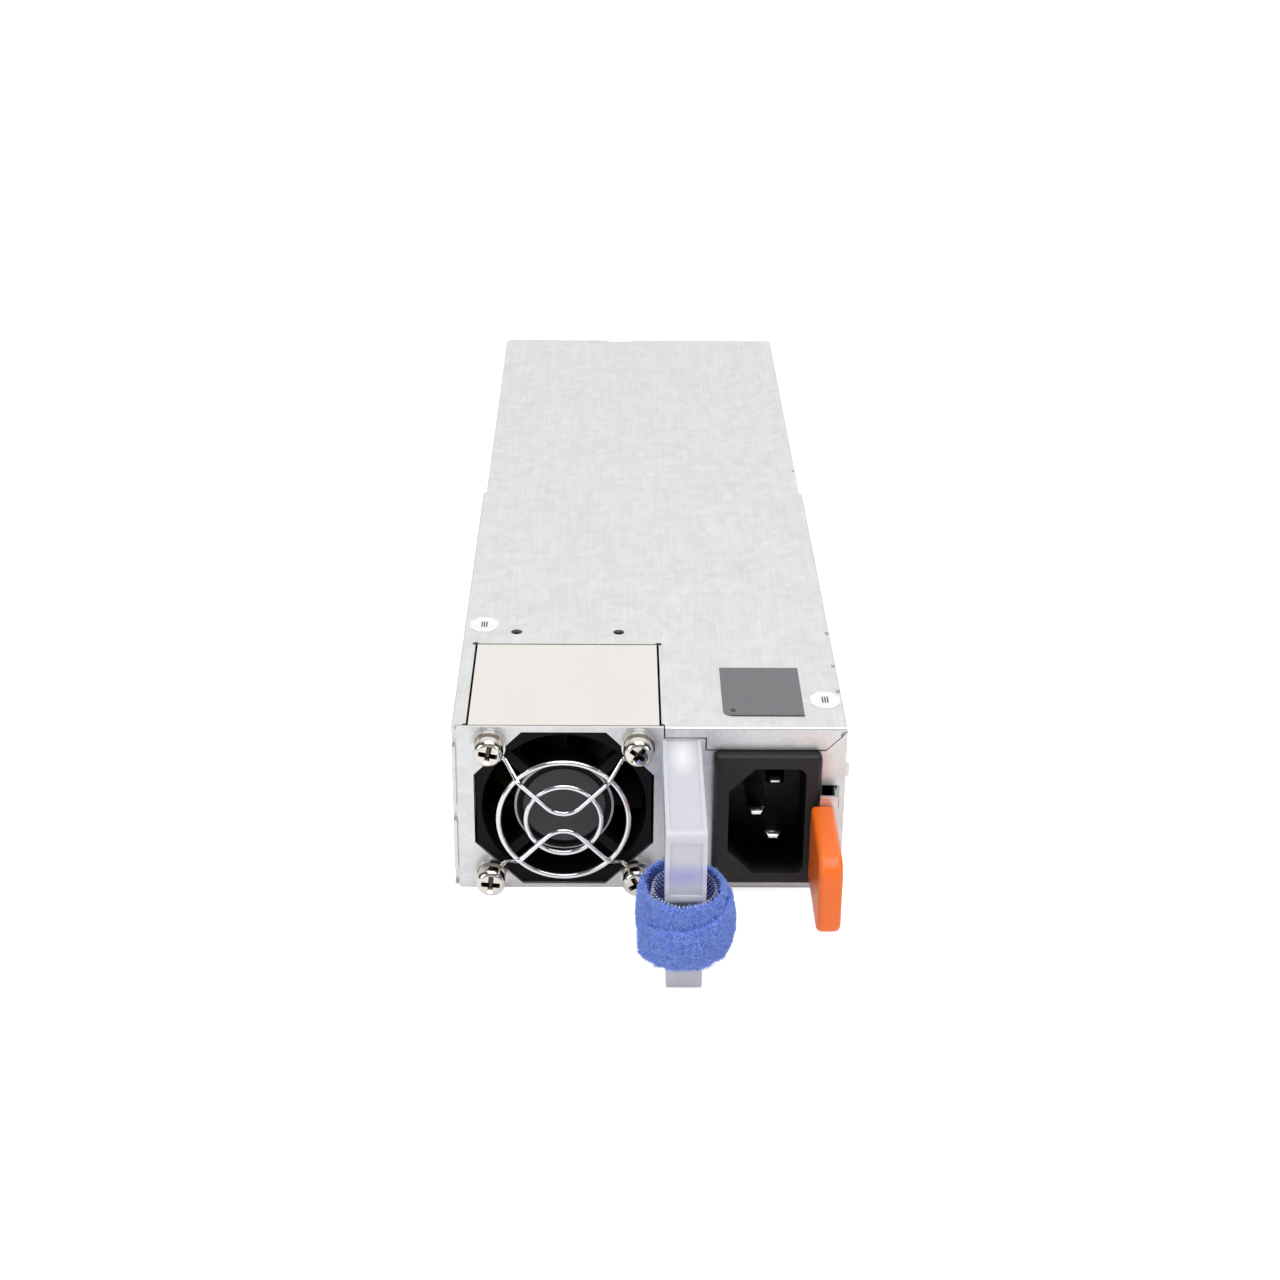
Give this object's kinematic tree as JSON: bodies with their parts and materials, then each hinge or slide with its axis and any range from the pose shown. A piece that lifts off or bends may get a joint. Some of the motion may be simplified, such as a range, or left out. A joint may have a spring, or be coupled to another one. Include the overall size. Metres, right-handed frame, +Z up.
{
  "type": "hot swap server power supply",
  "caption": "Slim sheet-metal server power supply with a guarded exhaust fan, mains inlet, clear pull handle with a strap and a side release latch.",
  "frame": {"origin": "middle of the housing's flat bottom face", "axes": "+X right seen from the front, +Y from the front panel to the rear, +Z up"},
  "size_m": [0.0869, 0.3205, 0.0402],
  "materials": {
    "galvanised_steel": "matte zinc-plated sheet with faint spangle",
    "nickel_plate": "satin nickel-plated sheet, warm",
    "chrome_wire": "polished chrome wire",
    "nickel_screw": "polished nickel",
    "zinc_screw": "zinc plate",
    "fan_black": "moulded, matte",
    "label_grey": "satin film label",
    "label_white": "white paper dots",
    "clear_plastic": "clear moulded plastic, frosted",
    "blue_strap": "napped hook-and-loop webbing",
    "latch_dark": "black-coated spring steel",
    "orange_plastic": "moulded, satin",
    "inlet_black": "moulded, fine texture",
    "pin_metal": "nickel-plated brass",
    "board_green": "solder mask",
    "gold": "gold plate",
    "film_yellow": "insulating film",
    "capacitor_sleeve": "sleeved can",
    "ferrite": "sintered ferrite",
    "copper_winding": "enamelled copper",
    "tape_yellow": "winding tape",
    "heatsink_aluminium": "extruded",
    "package_black": "moulded package",
    "pad_grey": "thermal pad",
    "box_film": "potted box",
    "disc_blue": "coated disc",
    "fuse_glass": "ceramic tube with plated caps",
    "relay_white": "moulded case",
    "led_green": "clear lens",
    "shaft_steel": "ground steel",
    "magnet_dark": "bonded ferrite",
    "lead_black": "sleeved wire",
    "connector_white": "moulded"
  },
  "bodies": {
    "housing": {"base_tray": "galvanised_steel", "board_screws": "zinc_screw", "board_standoffs": "zinc_screw", "box_capacitors": "box_film", "bulk_capacitors": "capacitor_sleeve", "choke_base": "package_black", "choke_core": "ferrite", "choke_winding": "copper_winding", "control_card": "board_green", "cord_strap": "blue_strap", "cover_screws": "zinc_screw", "disc_capacitors": "disc_blue", "earth_pin": "pin_metal", "fan_bearings": "shaft_steel", "fan_bracket": "nickel_plate", "fan_circuit_board": "board_green", "fan_connector": "connector_white", "fan_frame": "fan_black", "fan_guard": "chrome_wire", "fan_lead": "lead_black", "fan_motor_base": "fan_black", "fan_stator": "copper_winding", "filter_choke": "ferrite", "flat_washers": "nickel_screw", "front_panel": "galvanised_steel", "fuse": "fuse_glass", "gold_fingers": "gold", "guard_screws": "nickel_screw", "hub_label": "label_grey", "inlet_board": "board_green", "inlet_body": "inlet_black", "inlet_leads": "lead_black", "inspection_dots": "label_white", "insulation_film": "film_yellow", "latch_rivets": "zinc_screw", "line_pins": "pin_metal", "main_board": "board_green", "output_capacitors": "capacitor_sleeve", "power_transistors": "package_black", "primary_heatsink": "heatsink_aluminium", "pull_handle": "clear_plastic", "rear_panel": "galvanised_steel", "relay": "relay_white", "resonant_inductor": "ferrite", "secondary_heatsink": "heatsink_aluminium", "spring_washers": "nickel_screw", "status_led": "led_green", "thermal_pads": "pad_grey", "top_cover": "galvanised_steel", "top_label": "label_grey", "transformer_core": "ferrite", "transformer_winding": "tape_yellow"},
    "fan_spinner": {"fan_rotor": "fan_black", "fan_shaft": "shaft_steel", "fan_magnet": "magnet_dark"},
    "release_latch": {"latch_spring": "latch_dark", "latch_tab": "orange_plastic"}
  },
  "joints": [
    {"name": "fan_spin", "type": "hinge", "parent": "housing", "child": "fan_spinner", "pos_m": [-0.0184, -0.1185, 0.02], "axis": [0, 1, 0], "continuous": true},
    {"name": "latch_press", "type": "hinge", "parent": "housing", "child": "release_latch", "pos_m": [0.04035, -0.0665, 0.0234], "axis": [0, 0, -1], "range_deg": [0, 2.2], "stiffness_Nm_per_rad": 14}
  ]
}
